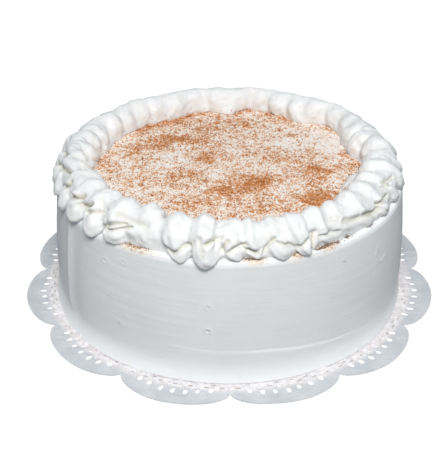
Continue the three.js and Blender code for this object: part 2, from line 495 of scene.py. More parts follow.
# %% Lay the bank
BANK = [(0, -1), (0.04, 2.5), (0.16, 7), (0.32, 12), (0.5, 15.4), (0.65, 16.2), (0.85, 14), (1, 8),
        (1, -1), (0, -1)]  # share of the way out, height
BANK_INNER = 100  # before it is drawn to its place
BANK_OUTER = 118.5
BANK_SPOKES = 240
BANK_HEAPS = [(125, 32, 0.1), (190, 42, 0.24), (50, 45, 0.12), (350, 25, 0.1)]  # angle, spread, share more
SHELF_ANGLE = 342
SHELF_SPREAD = 11
SHELF_REACH = 12.0
SHELF_SHARE = 0.22


def bank_growth(angle):
    heaps = sum(more * hump(degrees_apart(angle, middle), spread) for middle, spread, more in BANK_HEAPS)
    return 1 + 0.05 * np.sin(angle) + heaps


def shape_bank(points):
    """Draws the ring of shares out between the inner edge and the loops."""
    share = np.hypot(points[:, 0], points[:, 1]) / MM / BANK_INNER - 1
    angle = np.arctan2(points[:, 1], points[:, 0])
    inner = inner_edge(np.degrees(angle)) + 1.0
    shelf = SHELF_REACH * hump(degrees_apart(angle, SHELF_ANGLE), SHELF_SPREAD)
    shelf *= np.clip(1 - share / SHELF_SHARE, 0, 1)
    radius = (inner + (BANK_OUTER - inner) * share - shelf) * MM
    height = BORDER_SEAT * MM + (points[:, 2] - BORDER_SEAT * MM) * bank_growth(angle)
    return np.stack([radius * np.cos(angle), radius * np.sin(angle), height], 1)


bank_profile = [(BANK_INNER * (1 + share), BORDER_SEAT + rise) for share, rise in BANK]
bank = spun("cream_bank", bank_profile, BANK_SPOKES)
sculpt(bank, shape_bank)
told(bank)

# %% [markdown]
# A remesh melts the loops and the bank into one skin. The skin could be a boolean union too, but that
# keeps each loop's hard edges. The inner side and the back are then smoothed more than the petals, as
# they are on the real border, and soft noise gives every part its lumps.

# %% Melt the loops together
VOXEL = 0.93
FADE = 6
TOP_RADIUS = 116
TOP_ABOVE = 8
TOP_ROUNDS = 17
BAND_ROUNDS = 90
RIB_BANDS = [(195, 42, 121.5, 1.0), (355, 32, 118, 0.6)]  # angle, spread, reach, softness
BACK_FROM = 12
BACK_FADE = 50
LUMPS = [("broad_lumps", 17, 2.6), ("soft_lumps", 7.5, 2.0), ("small_folds", 3.5, 0.4)]  # size, strength


def apply(piece, kind, **settings):
    take(piece)
    modifier = piece.modifiers.new(kind.title(), kind)
    for name, value in settings.items():
        setattr(modifier, name, value)
    bpy.ops.object.modifier_apply(modifier=modifier.name)


def join(pieces, name):
    deselect()
    for piece in pieces:
        piece.select_set(True)
    bpy.context.view_layer.objects.active = pieces[0]
    bpy.ops.object.join()
    return added(name)


def soften(piece, name, softness, iterations):
    """Smooths each vertex as often as its softness, from 0 to 1, asks for."""
    group = piece.vertex_groups.new(name=name)
    for step in range(1, 11):
        chosen = np.flatnonzero(np.round(10 * softness) == step)
        group.add(chosen.tolist(), step / 10, "REPLACE")
    apply(piece, "SMOOTH", factor=0.5, iterations=iterations, vertex_group=name)


border = join([strand, bank], "piped_cream")
apply(border, "REMESH", mode="VOXEL", voxel_size=VOXEL * MM, adaptivity=0.0)
apply(border, "SMOOTH", factor=0.5, iterations=2)
x, y, height = (places(border) / MM).T
angle, radius = np.arctan2(y, x), np.hypot(x, y)
upper = np.clip((height - BORDER_SEAT - TOP_ABOVE) / FADE, 0, 1)
soften(border, "top", np.clip((TOP_RADIUS - radius) / FADE, 0, 1) * upper, TOP_ROUNDS)
bands = sum(softness * hump(degrees_apart(angle, middle), spread) * np.clip((reach - radius) / FADE, 0, 1)
            for middle, spread, reach, softness in RIB_BANDS)
back = np.clip((y - BACK_FROM) / BACK_FADE, 0, 1)
soften(border, "bands", np.maximum(bands * upper, back), BAND_ROUNDS)
for name, size, strength in LUMPS:
    lumps = bpy.data.textures.new(name, "CLOUDS")
    lumps.noise_scale = size * MM
    apply(border, "DISPLACE", texture=lumps, strength=strength * MM, mid_level=0.5)
told(border)

# %% [markdown]
# Soft cream sags where nothing carries it, so the petals that reach past the rim hang down a little.
# What would sink into the cake is pressed flat on the cake's top instead, as on the real one.

# %% Let the petals hang and press the seat flat
HANG_FROM = 119.5
HANG_RATE = 0.32
HANG_BEND = 1.45
HANG_MOST = 4.2
SEAT_SUNK = 0.35


def settle_down(points):
    radius = np.hypot(points[:, 0], points[:, 1]) / MM
    past = np.clip(radius - HANG_FROM, 0, None)
    points[:, 2] = np.maximum(points[:, 2], (BORDER_SEAT - SEAT_SUNK) * MM)
    points[:, 2] -= MM * np.minimum(HANG_RATE * past ** HANG_BEND, HANG_MOST)
    return points


sculpt(border, settle_down)
with editing(border):
    bpy.ops.mesh.remove_doubles(threshold=0.12 * MM)
    bpy.ops.mesh.dissolve_degenerate(threshold=0.02 * MM)
told(border)

# %% [markdown]
# ## Creases where a loop folded
# Each loop folds over the one before, and a short curved crease stays over its lip. A table presses
# them in: how deep, how wide, and then the places that the crease runs through, each as the angle
# round the cake and the angle round the border itself (0 faces outwards, 90 faces up). The broad
# shallow ones are the soft dimples on the humps. The loops at the back get one crease each, by a rule.

# %% Press the creases
SECTION_RADIUS = 110.0
SECTION_HEIGHT = 95.0
BACK_LOOPS = 19
SECTION_CORE = 5  # no crease is pressed past this
CREASE_SPAN = 16  # degrees that a crease may run to either side
DEEPEST = 5
CREASES = [  # depth, width, then the places
    (3.0, 1.3, (251.5, -12), (253.8, -22), (257.6, 0)), (1.6, 1.7, (258.7, 1), (259.5, 20)),
    (3.9, 1.4, (267.0, 42), (265.2, 29), (263.1, 16)), (2.1, 1.9, (261.3, 29), (262.5, -10)),
    (3.2, 1.3, (267.9, -11), (268.2, 7), (269.0, 27)), (2.8, 1.2, (269.3, -10), (271.4, 5), (274.4, 13)),
    (3.4, 1.4, (275.0, -8), (277.5, -18)), (2.1, 1.2, (273.0, 2), (275.9, -15), (278.6, -12)),
    (3.0, 1.4, (279.5, -20), (281.2, 4), (282.8, 26)), (2.8, 1.3, (283.2, 13), (288.6, -18), (294.6, 20)),
    (3.2, 1.6, (293.8, -30), (294.8, -2), (295.8, 20)), (2.5, 1.2, (297.0, -2), (304.2, -11)),
    (3.7, 1.9, (306.9, 23), (309.7, 9), (313.2, 6)), (3.9, 2.0, (315.2, 13), (319.6, -10), (322.9, -4)),
    (3.6, 1.8, (323.0, 16), (326.4, 17), (330.1, 11)), (2.4, 1.5, (330.5, 63), (336.4, 38)),
    (2.8, 1.6, (333.1, 75), (336.9, 62), (340.3, 44)),
    (5.0, 1.9, (176.3, 25), (180.8, 39), (187.7, 73)), (4.6, 1.7, (185.5, 12), (195.2, 49), (201.0, 81)),
    (5.0, 2.0, (202.7, 10), (205.1, 34), (205.2, 50)), (4.8, 1.8, (210.5, 16), (214.0, 28), (215.7, 49)),
    (4.4, 1.7, (216.5, 11), (219.6, 20), (222.3, 43)), (3.4, 1.5, (222.2, 10), (224.8, 27), (226.6, 40)),
    (3.4, 1.6, (229.3, -9), (232.8, 12), (236.9, 31)), (2.2, 2.4, (234.1, 57), (238.2, 53), (243.2, 57)),
    (3.2, 1.3, (231.9, -5), (235.8, 3), (239.0, 25)), (1.8, 2.2, (183.0, 145), (188.0, 156)),
    (1.4, 2.2, (223.6, 81), (228.4, 50)), (1.8, 2.2, (300.9, 60), (304.2, 64), (305.3, 49)),
    (1.3, 2.6, (262.3, 80), (263.6, 77)), (1.2, 2.4, (302.1, 56), (304.6, 54)),
    (1.0, 2.4, (271.0, 64), (272.1, 67)), (1.0, 2.4, (285.2, 55), (287.0, 56)),
    (0.9, 2.4, (253.8, 67), (255.2, 70)),
]
CREASES += [(2.4, 1.2, (facts[0] + 1, 22), (facts[0] + 4, 4), (facts[0] + 3, -14))
            for facts in map(loop_facts, range(BACK_LOOPS))]


def crease_depths(points):
    """How many millimetres each vertex is pressed in, towards the middle of the border's section."""
    x, y, z = (points / MM).T
    angle, radius = np.arctan2(y, x), np.hypot(x, y)
    outwards, upwards = radius - SECTION_RADIUS, z - SECTION_HEIGHT
    around, away = np.degrees(np.arctan2(upwards, outwards)), np.hypot(outwards, upwards)
    pressed = np.zeros_like(x)
    for deep, wide, *route in CREASES:
        near = np.flatnonzero(np.abs(degrees_apart(angle, route[0][0])) < CREASE_SPAN)
        for start, end in zip(route, route[1:]):
            for share in np.linspace(0, 1, 9):
                turned, raised = (first + (last - first) * share for first, last in zip(start, end))
                across = np.radians(degrees_apart(angle[near], turned)) * radius[near]
                along = np.radians(around[near] - raised) * away[near]
                dent = deep * hump(np.hypot(across, along), wide)
                pressed[near] = np.maximum(pressed[near], dent)
    return np.clip(pressed, 0, np.maximum(away - SECTION_CORE, 0))


def press_creases(points):
    x, y, z = (points / MM).T
    angle, outwards, upwards = np.arctan2(y, x), np.hypot(x, y) - SECTION_RADIUS, z - SECTION_HEIGHT
    kept = 1 - depths / np.hypot(outwards, upwards)
    radius, z = SECTION_RADIUS + outwards * kept, SECTION_HEIGHT + upwards * kept
    return np.stack([radius * np.cos(angle), radius * np.sin(angle), z], 1) * MM


depths = crease_depths(places(border))
sculpt(border, press_creases)
# The crease depth is kept on the vertices for the painted shade in the creases.
crease = border.data.attributes.new("crease", "FLOAT", "POINT")
crease.data.foreach_set("value", np.clip(depths / DEEPEST, 0, 1))
told(border)

# %% [markdown]
# ## Ground cinnamon
# The top inside the border is dusted with cinnamon, thick in some streaks and so thin in others that
# the cream shows. The powder is a fine grid laid on the top, raised by layered noise, and its paint
# shows cream where the layer is thin. Real grains are then scattered where it is thick.

# %% Lay the powder
POWDER_RADIUS = 112.0
POWDER_CELLS = 250
POWDER_DEEP = 0.9
POWDER_SKIRT = 1.6
CROWN = 0.8
CROWN_RADIUS = 94.0
THICK_PATCHES = [  # across, back, half as wide, half as deep, strength
    (60, -47, 13, 9, 1.15), (61, -4, 12, 7, 0.8), (60, -17, 12, 7, 0.3), (57, -35, 12, 6, 0.35),
    (19, -22, 14, 10, 1.1), (38, 13, 14, 6, 0.6), (25, -60, 16, 7, 0.45), (27, -45, 8, 7, 0.3),
    (0, -34, 14, 9, 0.8), (-17, 14, 9, 9, 0.7), (-10, 26, 8, 14, 0.25), (-28, -11, 10, 8, 0.5),
    (-42, 47, 24, 8, 0.9), (-58, 33, 14, 8, 0.5), (-66, 24, 9, 7, 0.3), (-60, 68, 14, 8, 0.25),
    (-16, 68, 9, 9, 0.6), (-37, 81, 10, 6, 0.6), (-8, 86, 12, 6, 0.3), (12, 76, 9, 9, 0.6),
    (28, 28, 10, 7, 0.3), (54, 54, 12, 4, 0.5), (-20, -51, 16, 7, 0.45), (-84, 0, 9, 8, 0.2),
    (92, 4, 8, 5, 0.4), (-42, -15, 14, 8, 0.4), (36, 86, 8, 5, 0.2)]
THIN_PATCHES = [
    (-44, 18, 9, 13, 0.5), (-10, -10, 8, 7, 0.4), (46, 42, 16, 10, 0.7), (30, -9, 8, 5, 0.2),
    (80, 36, 13, 12, 0.8), (72, 57, 15, 13, 0.75), (36, -33, 8, 6, 0.75), (90, 20, 8, 8, 0.6),
    (42, 70, 12, 8, 0.3), (77, -22, 7, 6, 0.3), (-72, -36, 9, 8, 0.4), (-79, 44, 9, 8, 0.4)]
DRIFTS = [  # angle, spread, strength
    (128, 9, 0.9), (108, 10, 0.8), (84, 5, 0.6), (71, 3, 0.8), (63, 4, 0.7), (41, 4, 0.5),
    (168, 10, 0.3), (14, 9, 0.6), (358, 4, 0.4)]
DRIFT_WIDE = 4.0
USUAL_SHARE = 0.4
THICK_MORE = 0.6
THIN_LESS = 0.34
CLOUDS_MORE = 0.24
DRIFTS_MORE = 0.5


def drifted(x, y):
    """Powder that slid against the foot of the cream."""
    turned = np.degrees(np.arctan2(y, x)) % 360
    along = sum(strength * hump(turned - middle, spread) for middle, spread, strength in DRIFTS)
    return along * hump(np.hypot(x, y) - inner_edge(turned) + 0.5, DRIFT_WIDE)


def patches(x, y, chosen):
    total = np.zeros_like(x)
    for middle_x, middle_y, wide, deep, strength in chosen:
        away = ((x - middle_x) / wide) ** 2 + ((y - middle_y) / deep) ** 2
        total += strength * np.exp(-away)
    return total


def clouds(x, y, size, octaves, salt):
    """Soft noise from -1 to 1 at these places, in lumps of about this size."""
    return np.array([noise.fractal((a / size, b / size, salt), 0.6, 2.0, octaves)
                     for a, b in zip(x, y)])


def powder_share(x, y):
    """How thick the powder lies, from 0 to 1."""
    share = USUAL_SHARE + THICK_MORE * patches(x, y, THICK_PATCHES)
    share -= THIN_LESS * patches(x, y, THIN_PATCHES)
    share += CLOUDS_MORE * clouds(x / 1.4, y, 8.0, 5, 3.1) + DRIFTS_MORE * drifted(x, y)
    return np.clip(share, 0.03, 1)


def crown_height(x, y):
    inside = np.clip(1 - (x * x + y * y) / CROWN_RADIUS ** 2, 0, 1)
    return CAKE_TOP + CROWN * inside


def raise_powder(points):
    x, y, _ = (points / MM).T
    share = powder_share(x, y)
    lumps = 0.5 + 0.5 * clouds(x, y, 1.6, 3, 8.2)
    height = crown_height(x, y) + 0.08 + POWDER_DEEP * share * (0.25 + 0.75 * lumps)
    return np.stack([x, y, height], 1) * MM


def remove_vertices(piece, chosen):
    """Selects the vertices whose flag is set and deletes them in edit mode."""
    piece.data.polygons.foreach_set("select", np.zeros(len(piece.data.polygons), bool))
    piece.data.edges.foreach_set("select", np.zeros(len(piece.data.edges), bool))
    piece.data.vertices.foreach_set("select", chosen)
    piece.data.update()
    take(piece)
    bpy.ops.object.mode_set(mode="EDIT")
    bpy.ops.mesh.delete(type="VERT")
    bpy.ops.object.mode_set(mode="OBJECT")


deselect()
bpy.ops.mesh.primitive_grid_add(x_subdivisions=POWDER_CELLS, y_subdivisions=POWDER_CELLS,
                                size=2 * POWDER_RADIUS * MM, location=(0, 0, 0))
powder = added("cinnamon_powder")
remove_vertices(powder, np.hypot(*places(powder)[:, :2].T) > POWDER_RADIUS * MM)
sculpt(powder, raise_powder)
share = powder_share(*(places(powder)[:, :2] / MM).T)
layer = powder.data.attributes.new("layer", "FLOAT", "POINT")
layer.data.foreach_set("value", share)
with editing(powder, "EDGE"):
    bpy.ops.mesh.select_all(action="DESELECT")
    bpy.ops.mesh.select_non_manifold()
    bpy.ops.mesh.extrude_region_move(TRANSFORM_OT_translate={"value": (0, 0, -POWDER_SKIRT * MM)})
    bpy.ops.mesh.edge_face_add()
told(powder)

# %% [markdown]
# A grain starts as a ball of twenty faces, which a decimate modifier breaks down to an uneven chip.
# The chip is pressed and turned, and is copied into one mesh many thousand times. A random draw keeps
# a grain only where the powder is thick enough and where a finer noise says that it clumps. Each
# grain is dropped on what lies under it, so that some lie on the foot of the border, and keeps a tone
# of its own, for the paint.

# %% Scatter the grains
GRAINS = 17500
GRAIN_SIZES = (0.55, 1.35)
CLUMP_SIZE = 2.1
DUSTED_RADIUS = 112.0
DUSTED_FROM = 1.6
DUSTED_HEIGHT = 9.0


def grain_shape():
    deselect()
    bpy.ops.mesh.primitive_ico_sphere_add(subdivisions=1, radius=0.5 * MM)
    seed = added("grain_seed")
    apply(seed, "DECIMATE", ratio=0.6)
    corners = places(seed)
    faces = np.array([list(face.vertices) for face in seed.data.polygons])
    bpy.data.objects.remove(seed)
    return corners, faces


def level_turn(angle):
    c, s = math.cos(angle), math.sin(angle)
    return np.array([[c, -s, 0], [s, c, 0], [0, 0, 1]])


def turned_by(draw):
    first, second, third = (draw.uniform(0, TURN) for _ in range(3))
    c, s = math.cos(second), math.sin(second)
    tilt = np.array([[1, 0, 0], [0, c, -s], [0, s, c]])
    return level_turn(first) @ tilt @ level_turn(third)


def scattered(name, spots, sizes, draw):
    """One mesh of grains at these places, with a tone for each."""
    corners, faces = grain_shape()
    points, corners_of_faces, tones = [], [], []
    for number, (spot, size) in enumerate(zip(spots, sizes)):
        pressed = corners * [draw.uniform(0.7, 1.4), draw.uniform(0.6, 1.1), draw.uniform(0.35, 0.8)]
        points.append(pressed @ turned_by(draw).T * size + spot)
        corners_of_faces.append(faces + number * len(corners))
        tones += [draw.random()] * len(corners)
    mesh = bpy.data.meshes.new(name)
    mesh.from_pydata(np.concatenate(points), [], np.concatenate(corners_of_faces).tolist())
    mesh.attributes.new("tone", "FLOAT", "POINT").data.foreach_set("value", tones)
    piece = bpy.data.objects.new(name, mesh)
    bpy.context.collection.objects.link(piece)
    return piece


draw = random.Random(5)
under = [BVHTree.FromPolygons([list(point) for point in places(piece)],
                              [list(face.vertices) for face in piece.data.polygons])
         for piece in (powder, border)]


def surface_height(x, y):
    """Height in millimetres of what a grain falls on here."""
    hits = [tree.ray_cast((x * MM, y * MM, 0.2), (0, 0, -1))[0] for tree in under]
    return max((hit.z / MM for hit in hits if hit), default=0)


def drawn_places(count):
    """This many random places on the dusted top, clumped where the powder is thick."""
    kept = []
    while sum(map(len, kept)) < count:
        x, y, chance = np.array([[draw.random() for _ in range(5000)] for _ in range(3)])
        x, y = (2 * x - 1) * DUSTED_RADIUS, (2 * y - 1) * DUSTED_RADIUS
        clump = clouds(x, y, CLUMP_SIZE, 2, 5.5)
        wanted = powder_share(x, y) ** 1.5 * (0.35 + 1.5 * np.clip(clump, 0, None))
        kept.append(np.stack([x, y], 1)[(np.hypot(x, y) < DUSTED_RADIUS) & (chance < wanted)])
    return np.concatenate(kept)[:count]


spots, sizes = [], []
for x, y in drawn_places(GRAINS).tolist():
    height = surface_height(x, y)
    climbed = max(0, height - CAKE_TOP - DUSTED_FROM) / DUSTED_HEIGHT
    if draw.random() < 0.5 * climbed ** 0.25 + climbed:
        continue
    size = GRAIN_SIZES[0] + (GRAIN_SIZES[1] - GRAIN_SIZES[0]) * draw.random() ** 2
    spots.append(np.array([x, y, height + 0.1 * size]) * MM)
    sizes.append(size)
grains = scattered("cinnamon_grains", spots, sizes, draw)
told(grains)

# %% [markdown]
# Where a loop stops short of the rim, brown crumbs of cinnamon lie on the rim under it. They are the
# same grains, in small heaps at those angles.

# %% Crumbs under the short loops
CRUMB_HEAPS = [  # angle, radius, spread
    (240.5, 118.4, 6.0), (276, 118.5, 2.6), (288, 118.5, 3.0), (297, 120, 2.4),
    (301, 118.6, 3.4), (308, 117.2, 2.4), (318, 118.0, 1.8), (327, 118.4, 1.6)]
CRUMBS_PER_DEGREE = 64
CRUMB_RIM_GAP = 1.6

spots, sizes = [], []
for middle, radius, spread in CRUMB_HEAPS:
    for _ in range(int(CRUMBS_PER_DEGREE * spread)):
        angle = math.radians(draw.gauss(middle, spread / 2))
        reach = min(draw.gauss(radius, 1.2), RIM_RADIUS - CRUMB_RIM_GAP)
        spots.append(np.array([reach * math.cos(angle), reach * math.sin(angle),
                               CAKE_TOP + draw.uniform(0.1, 0.9)]) * MM)
        sizes.append(draw.uniform(0.35, 0.9))
crumbs = scattered("rim_crumbs", spots, sizes, draw)
told(crumbs)

# %% [markdown]
# ## The paper lace doily
# The paper is a flat sheet with twelve lobes. Punched slots follow each lobe with smaller holes inside
# them, two rows of pressed dashes run close round the cake, and two lines of pressed beads follow the
# edge. A flat curve with holes fills itself, which keeps the slots round, so the sheet is drawn as
# curves and then made a mesh. The beads are small domes, modelled once and copied along the edge.

# %% Draw the sheet
PAPER_THICK = 0.3
TIP_RADIUS = 152.4
NOTCH_RADIUS = 137.0
SCALLOPS = 12
DOILY_TURN = math.radians(30)
SCALLOP_ROUNDNESS = 0.41
SLOT_BAND = 12.0
SLOTS_PER_LOBE = 7
SLOT_STEP = math.radians(3.3)
SLOT_LONG = 4.4
SLOT_WIDE = 3.0
SMALL_HOLE = 1.7
SMALL_INSET = 5.0
DASHES = 84
DASH_ROWS = (132.2, 134.4)


def doily_radius(angle):
    lobe = abs(math.sin(SCALLOPS / 2 * (angle - DOILY_TURN)))
    return NOTCH_RADIUS + (TIP_RADIUS - NOTCH_RADIUS) * lobe ** SCALLOP_ROUNDNESS


def edge_angles(per_lobe):
    """Angles round the edge that crowd towards the notches, where the edge turns fastest."""
    for step in range(SCALLOPS * per_lobe):
        part = (step % per_lobe) / per_lobe
        eased = part - math.sin(TURN * part) / (TURN * 1.25)
        yield DOILY_TURN + (step // per_lobe + eased) * TURN / SCALLOPS


def polar(radius, angle):
    return radius * math.cos(angle) * MM, radius * math.sin(angle) * MM


def oval(radius, angle, long, wide, sides=12):
    """Points of an oval hole whose long side points outwards."""
    for side in range(sides):
        turn = side * TURN / sides
        out = radius + long / 2 * math.cos(turn)
        along = wide / 2 * math.sin(turn)
        yield polar(math.hypot(out, along), angle + math.atan2(along, out))


def add_outline(curve, points):
    spline = curve.splines.new("POLY")
    points = list(points)
    spline.points.add(len(points) - 1)
    for point, (x, y) in zip(spline.points, points):
        point.co = (x, y, 0, 1)
    spline.use_cyclic_u = True


def slot_places():
    for lobe in range(SCALLOPS):
        middle = DOILY_TURN + (lobe + 0.5) * TURN / SCALLOPS
        for slot in range(SLOTS_PER_LOBE):
            angle = middle + (slot - (SLOTS_PER_LOBE - 1) / 2) * SLOT_STEP
            yield doily_radius(angle) - SLOT_BAND, angle


deselect()
bpy.ops.curve.primitive_bezier_circle_add(location=(0, 0, 0))
doily = added("paper_lace")
doily.data.splines.clear()
doily.data.dimensions = "2D"
doily.data.fill_mode = "BOTH"
doily.data.extrude = PAPER_THICK / 2 * MM
add_outline(doily.data, (polar(doily_radius(angle), angle) for angle in edge_angles(40)))
for radius, angle in slot_places():
    odd = uneven(1000 * angle, 3)
    add_outline(doily.data, oval(radius + 0.5 * odd, angle + 0.003 * odd, SLOT_LONG + 0.7 * odd,
                                 SLOT_WIDE + 0.5 * uneven(1000 * angle, 4)))
    beside = angle + SLOT_STEP / 2
    radius = doily_radius(beside) - SLOT_BAND - SMALL_INSET
    if radius > DASH_ROWS[1] + 0.6:
        add_outline(doily.data, oval(radius, beside, SMALL_HOLE, SMALL_HOLE, 8))
take(doily)
bpy.ops.object.convert(target="MESH")
doily = bpy.context.object
with editing(doily):
    bpy.ops.mesh.remove_doubles(threshold=0.001 * MM)
    bpy.ops.transform.translate(value=(0, 0, PAPER_THICK / 2 * MM))
told(doily)

# %% [markdown]
# The beads and the dashes are pressed into the real paper. They are domes joined to the sheet, so the
# lace catches the light from every side. The dashes keep a mark of their own, which the paint darkens
# as painted shade in their pressed lines.

# %% Press the beads
EDGE_BEADS = (0.85, 0.5, 0.4, 2.1)  # radius, height, inset from the edge, step
INNER_BEADS = (0.55, 0.35, 8.0, 2.2)
DASH_SHAPE = (0.8, 3.4, 1)
DASH_SKIPPED = -0.6


def dome(radius, height):
    deselect()
    bpy.ops.mesh.primitive_uv_sphere_add(segments=8, ring_count=4, radius=radius * MM)
    piece = added("bead")
    remove_vertices(piece, places(piece)[:, 2] < -0.1 * radius * MM)
    sculpt(piece, lambda points: points * [1, 1, height / radius])
    return piece


def copied_along(seed, spots, name):
    """One mesh with a copy of the seed at each place, turned to face the middle."""
    corners = places(seed)
    faces = [list(face.vertices) for face in seed.data.polygons]
    points = []
    for x, y, z in spots:
        outwards = np.array([x, y, 0]) / math.hypot(x, y)
        along = np.array([-outwards[1], outwards[0], 0])
        points.append(corners[:, :1] * outwards + corners[:, 1:2] * along + corners[:, 2:] * [0, 0, 1]
                      + [x, y, z])
    points = np.concatenate(points)
    shifted = [[corner + number * len(corners) for corner in face]
               for number in range(len(spots)) for face in faces]
    mesh = bpy.data.meshes.new(name)
    mesh.from_pydata(points, [], shifted)
    piece = bpy.data.objects.new(name, mesh)
    bpy.context.collection.objects.link(piece)
    bpy.data.objects.remove(seed)
    return piece


def bead_places(inset, step):
    """Even steps along the edge, this far inside it."""
    spots, walked, last = [], 0.0, None
    for angle in np.linspace(0, TURN, 7200, endpoint=False):
        here = np.array([*polar(doily_radius(angle) - inset, angle), PAPER_THICK * MM])
        if last is not None:
            walked += np.linalg.norm(here - last) / MM
        if last is None or walked >= step:
            spots.append(here)
            walked = 0.0
        last = here
    return spots


edge_beads, inner_beads = (
    copied_along(dome(radius, height), bead_places(inset, step), name)
    for name, (radius, height, inset, step) in (("edge_beads", EDGE_BEADS), ("inner_beads", INNER_BEADS)))
dash = dome(0.6, 0.4)
sculpt(dash, lambda points: points * DASH_SHAPE)
rings = [np.array([*polar(radius, (step + 0.5 * row) * TURN / DASHES), PAPER_THICK * MM])
         for row, radius in enumerate(DASH_ROWS) for step in range(DASHES)
         if uneven(step, row) > DASH_SKIPPED]
dashes = copied_along(dash, rings, "dashes")
# The mark picks out the dashes, which the paint darkens as painted shade.
pressed = dashes.data.attributes.new("pressed", "FLOAT", "POINT")
pressed.data.foreach_set("value", np.ones(len(dashes.data.vertices)))
doily = join([doily, edge_beads, inner_beads, dashes], "paper_lace")
told(doily)

# %% [markdown]
# Thin paper never lies quite flat: each lobe lifts a little towards its tip and waves.

# %% Lift the lobes
LIFT_FROM = 131
LIFT_BAND = 21


def lift(points):
    x, y, height = (points / MM).T
    radius = np.hypot(x, y)
    angle = np.arctan2(y, x)
    past = np.clip((radius - LIFT_FROM) / LIFT_BAND, 0, 1)
    wave = 0.9 + 0.5 * np.sin(5 * angle + 1) + 0.4 * np.sin(17 * angle)
    height += past ** 1.6 * np.clip(wave, 0.15, 2)
    return np.stack([x, y, height], 1) * MM


sculpt(doily, lift)
told(doily)

# %% [markdown]
# ## Smooth shading
# Cream is soft, so its faces are shaded smooth. The paper keeps its cut edges by angle.

# %% Shade
for piece in (coat, border, powder):
    take(piece)
    bpy.ops.object.shade_smooth()
take(doily)
bpy.ops.object.shade_smooth_by_angle(angle=math.radians(40))
print("smooth all over:", coat.name, border.name, powder.name, "- smooth by angle:", doily.name)

# %% [markdown]
# ## Shader sums that read as Python
# A procedural finish is mostly arithmetic on positions and noise. `Signal` wraps a socket, so that a
# sum on signals adds its Math nodes, and `Paint.node` adds any other node from its settings and the
# values or links of its sockets.

# %% Paint and signals
class Signal:
    def __init__(self, paint, socket):
        self.paint = paint
        self.socket = socket

    def sum(self, operation, first, second):
        return self.paint.node("Math", {"operation": operation}, {0: first, 1: second})

    def __add__(self, other):
        return self.sum("ADD", self, other)

    def __sub__(self, other):
        return self.sum("SUBTRACT", self, other)

    def __rsub__(self, other):
        return self.sum("SUBTRACT", other, self)

    def __mul__(self, other):
        return self.sum("MULTIPLY", self, other)

    __radd__ = __add__
    __rmul__ = __mul__

    def between(self, low, high):
        """0 below low, 1 above high and a smooth step from one to the other."""
        limits = {"From Min": low, "From Max": high, "Value": self}
        return self.paint.node("MapRange", {"interpolation_type": "SMOOTHSTEP"}, limits)


class Paint:
    def __init__(self, name, **constants):
        self.material = bpy.data.materials.new(name)
        self.material.use_nodes = True
        self.tree = self.material.node_tree
        self.shader = self.tree.nodes["Principled BSDF"]
        for socket, value in constants.items():
            self.shader.inputs[socket.replace("_", " ")].default_value = value

    def node(self, kind, settings=None, inputs=None, output=0):
        made = self.tree.nodes.new("ShaderNode" + kind)
        for name, value in (settings or {}).items():
            if name == "stops":
                ramp = made.color_ramp.elements
                while len(ramp) < len(value):
                    ramp.new(0.5)
                for stop, (position, colour) in zip(ramp, value):
                    stop.position = position
                    stop.color = (*colour, 1)
            else:
                setattr(made, name, value)
        for socket, value in (inputs or {}).items():
            self.plug(made.inputs[socket], value)
        return Signal(self, made.outputs[output])

    def plug(self, socket, value):
        if isinstance(value, Signal):
            self.tree.links.new(value.socket, socket)
        else:
            socket.default_value = value

    def axes(self, stretch=(1, 1, 1)):
        """The place on the cake in metres, stretched for patterns that run one way."""
        place = self.node("TexCoord", output="Object")
        return self.node("Mapping", None, {"Vector": place, "Scale": stretch})

    def noise(self, size, detail=2.0, roughness=0.5, stretch=(1, 1, 1)):
        """Noise from 0 to 1 whose lumps are about this many metres across."""
        settings = {"Scale": 1 / size, "Detail": detail, "Roughness": roughness}
        return self.node("TexNoise", None, {"Vector": self.axes(stretch), **settings})

    def attribute(self, name):
        """A number that was kept on the piece's vertices."""
        return self.node("Attribute", {"attribute_name": name}, output="Fac")

    def ramp(self, value, *stops):
        return self.node("ValToRGB", {"stops": stops}, {"Fac": value})

    def mix(self, share, first, second):
        sockets = {"Factor": share, "A": first, "B": second}
        made = self.tree.nodes.new("ShaderNodeMix")
        made.data_type = "RGBA"
        for socket in made.inputs:
            if socket.enabled and socket.name in sockets:
                value = sockets[socket.name]
                if socket.name != "Factor" and not isinstance(value, Signal):
                    value = (*value, 1)
                self.plug(socket, value)
        return Signal(self, next(socket for socket in made.outputs if socket.enabled))

    def colour(self, value):
        self.plug(self.shader.inputs["Base Color"], value)

    def rough(self, value):
        self.plug(self.shader.inputs["Roughness"], value)

    def bump(self, height, depth):
        """Height from 0 to 1 stands for this depth in metres."""
        sockets = {"Height": height, "Distance": depth, "Strength": 1.0}
        self.plug(self.shader.inputs["Normal"], self.node("Bump", None, sockets))

    def dress(self, piece):
        piece.data.materials.clear()
        piece.data.materials.append(self.material)
        print(f"{piece.name} wears {self.material.name}, {len(self.tree.nodes)} nodes")


# %% [markdown]
# ## Whipped cream
# Whipped cream is white, a little translucent and softly shiny. Light goes into it, so a share of
# subsurface scattering takes the hardness out of its shadows. The wall's finest level streaks and the
# tiny bubbles are bumps of a few hundredths of a millimetre. Little light reaches into a crease, so the
# creases are painted with shade, a darker yellow-grey, and the rim has cinnamon's colour.

# %% Paint the cream
# Painted shade for the creases, from a shallow crease to the deepest.
CREASE_SHADE = ((0.0, (0.80, 0.79, 0.72)), (0.6, (0.66, 0.63, 0.52)), (1.0, (0.42, 0.40, 0.35)))
DAMP = ((0.42, (0.95, 0.84, 0.70)), (0.62, (0.56, 0.32, 0.16)))
LEVEL = (0.12, 0.12, 2.2)  # stretches noise along the wall
FINE_LEVEL = (0.12, 0.12, 1.3)


